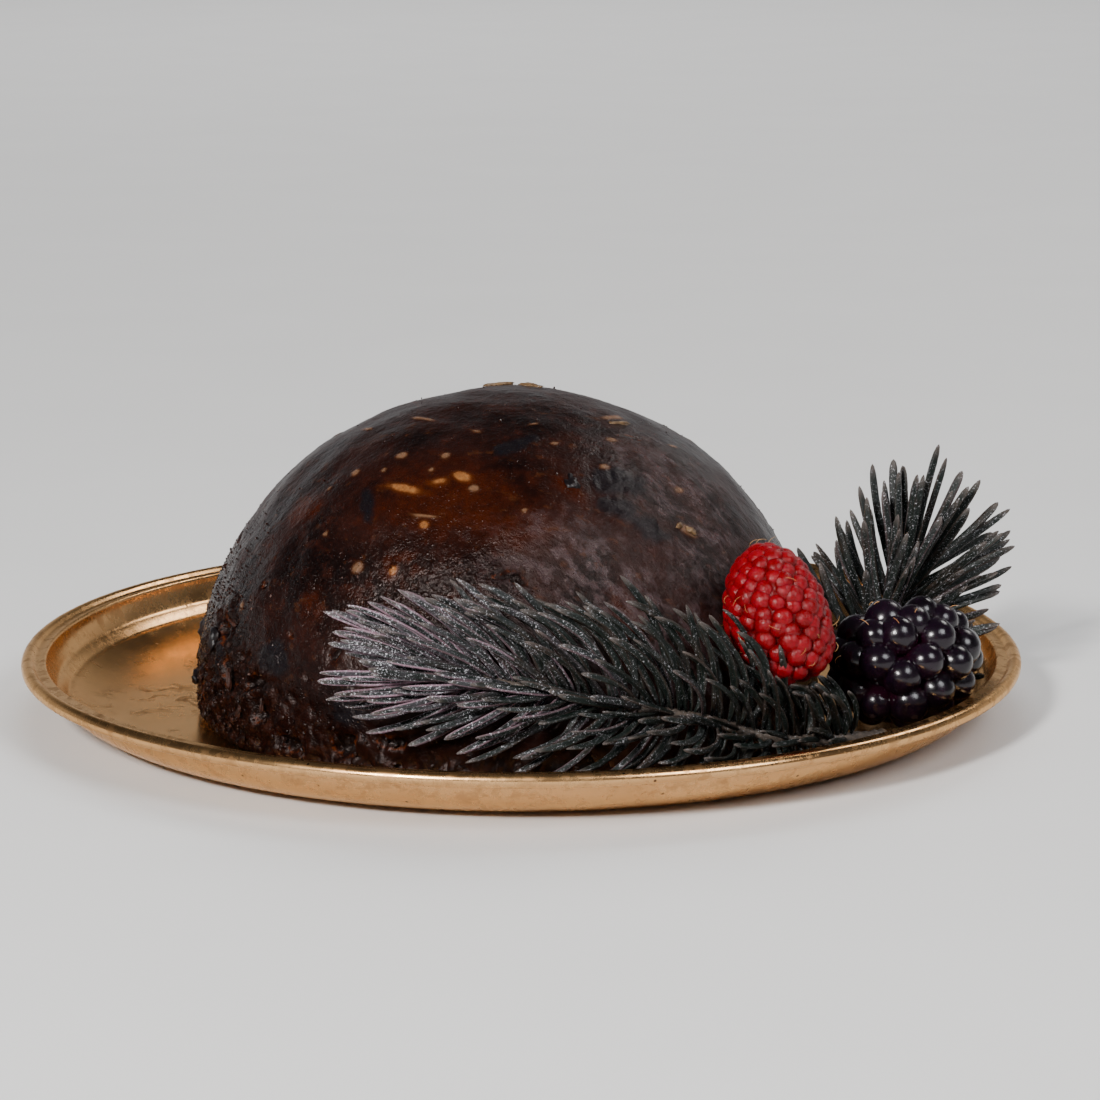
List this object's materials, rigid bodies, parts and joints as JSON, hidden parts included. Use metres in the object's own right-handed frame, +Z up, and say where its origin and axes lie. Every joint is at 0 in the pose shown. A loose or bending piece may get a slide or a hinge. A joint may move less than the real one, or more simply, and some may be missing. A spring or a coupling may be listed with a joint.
{
  "type": "christmas pudding",
  "caption": "Dark steamed Christmas pudding, a smooth dome on a shallow round brass plate, dressed with frosted fir sprigs and soft fruit.",
  "frame": {"origin": "middle of the plate's flat underside", "axes": "+Z up, -Y towards the side that faces the guests, +X to the right of it, where the fruit lies"},
  "size_m": [0.1907, 0.1898, 0.0617],
  "materials": {
    "brass_sheet": "satin spun brass, softly polished, with faint tarnish and light wear on the rolled rim",
    "dark_pudding": "food: near-black sticky fruit pudding, glossy in places, with almond and fruit pieces in its skin",
    "raspberry_skin": "food: moist red fruit skin with fine hairs",
    "bramble_skin": "food: shiny black fruit skin with purple undersides",
    "frosted_fir": "plant: flat dark grey-green needles dusted with white frost"
  },
  "bodies": {
    "root": {"plate": "brass_sheet", "pudding": "dark_pudding", "raspberry": "raspberry_skin", "bramble_fruit": "bramble_skin", "sprig_front": "frosted_fir", "sprig_back": "frosted_fir"}
  },
  "joints": []
}
